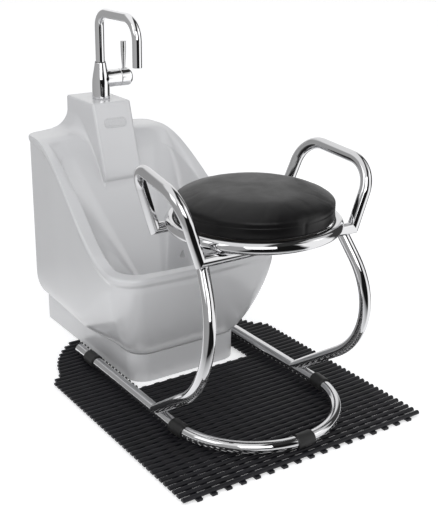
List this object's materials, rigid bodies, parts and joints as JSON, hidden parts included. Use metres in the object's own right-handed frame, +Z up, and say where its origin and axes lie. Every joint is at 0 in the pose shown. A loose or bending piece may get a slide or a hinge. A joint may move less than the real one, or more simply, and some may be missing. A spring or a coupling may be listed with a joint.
{
  "type": "pedicure spa chair",
  "caption": "Foot-wash basin with a swan-neck mixer tap, a round swivel seat on a bent-tube frame with side grips, and a ribbed rubber mat.",
  "frame": {"origin": "centre of the set's bounding box at floor level", "axes": "+Z up, +Y towards the back of the basin (tap side), +X to the sitter's right hand side when facing the basin"},
  "size_m": [0.612, 0.955, 0.8065],
  "materials": {
    "glazed_body": "glossy white glaze, cast resin and ceramic",
    "plinth_white": "glossy white",
    "badge": "blank satin plate",
    "waste_chrome": "polished",
    "drain_plastic": "moulded",
    "seal_rubber": "matte",
    "tap_chrome": "polished",
    "brass": "machined",
    "frame_chrome": "polished tube",
    "sleeve_rubber": "matte",
    "mech_steel": "zinc plated",
    "board_wood": "plywood",
    "cushion": "black imitation leather over foam, soft sheen",
    "piping": "black welt",
    "mat_rubber": "matte ribbed"
  },
  "bodies": {
    "basin": {"basin_shell": "glazed_body", "plinth": "plinth_white", "badge_plate": "badge", "waste_flange": "waste_chrome", "waste_seal": "seal_rubber", "waste_nut": "drain_plastic", "trap_body": "drain_plastic", "trap_nut": "drain_plastic", "waste_pipe": "drain_plastic", "tap_gasket": "seal_rubber", "tap_body": "tap_chrome", "tap_shank": "brass", "tap_washer": "seal_rubber", "tap_nut": "brass", "supply_pipes": "brass", "supply_nuts": "brass", "mixer_cartridge": "mech_steel", "spout_seal": "seal_rubber", "mat_bars": "mat_rubber", "mat_ribs": "mat_rubber"},
    "plug": {"waste_plug": "waste_chrome"},
    "swan_neck": {"spout": "tap_chrome", "aerator": "drain_plastic"},
    "mixer": {"mixer_cap": "tap_chrome"},
    "lever": {"mixer_lever": "tap_chrome"},
    "stool": {"floor_ring": "frame_chrome", "leg_left": "frame_chrome", "leg_right": "frame_chrome", "front_cross_tube": "frame_chrome", "back_cross_tube": "frame_chrome", "seat_ring": "frame_chrome", "grip_left": "frame_chrome", "grip_right": "frame_chrome", "rail_plugs": "sleeve_rubber", "rail_sleeves": "sleeve_rubber", "ring_sleeves": "sleeve_rubber", "bridge_plate": "mech_steel", "bridge_bolts": "mech_steel", "swivel_base": "mech_steel", "swivel_balls": "mech_steel", "swivel_pin": "mech_steel"},
    "seat": {"swivel_top": "mech_steel", "seat_screws": "mech_steel", "seat_board": "board_wood", "seat_cushion": "cushion", "seat_piping": "piping"}
  },
  "joints": [
    {"name": "plug_lift", "type": "slide", "parent": "basin", "child": "plug", "axis": [0, 0, 1], "range_m": [0, 0.008]},
    {"name": "spout_swing", "type": "hinge", "parent": "basin", "child": "swan_neck", "pos_m": [0, 0.3935, 0.584], "axis": [0, 0, 1], "range_deg": [-60, 60]},
    {"name": "mixer_turn", "type": "hinge", "parent": "basin", "child": "mixer", "pos_m": [0.05, 0.3935, 0.632], "axis": [1, 0, 0], "range_deg": [-45, 45]},
    {"name": "lever_tilt", "type": "hinge", "parent": "mixer", "child": "lever", "pos_m": [0.0653, 0.3935, 0.632], "axis": [0, 1, 0], "range_deg": [0, 25]},
    {"name": "stool_slide", "type": "slide", "parent": "basin", "child": "stool", "axis": [0, 1, 0], "range_m": [0, 0.08]},
    {"name": "seat_swivel", "type": "hinge", "parent": "stool", "child": "seat", "pos_m": [0, -0.2565, 0.4475], "axis": [0, 0, 1], "continuous": true}
  ]
}
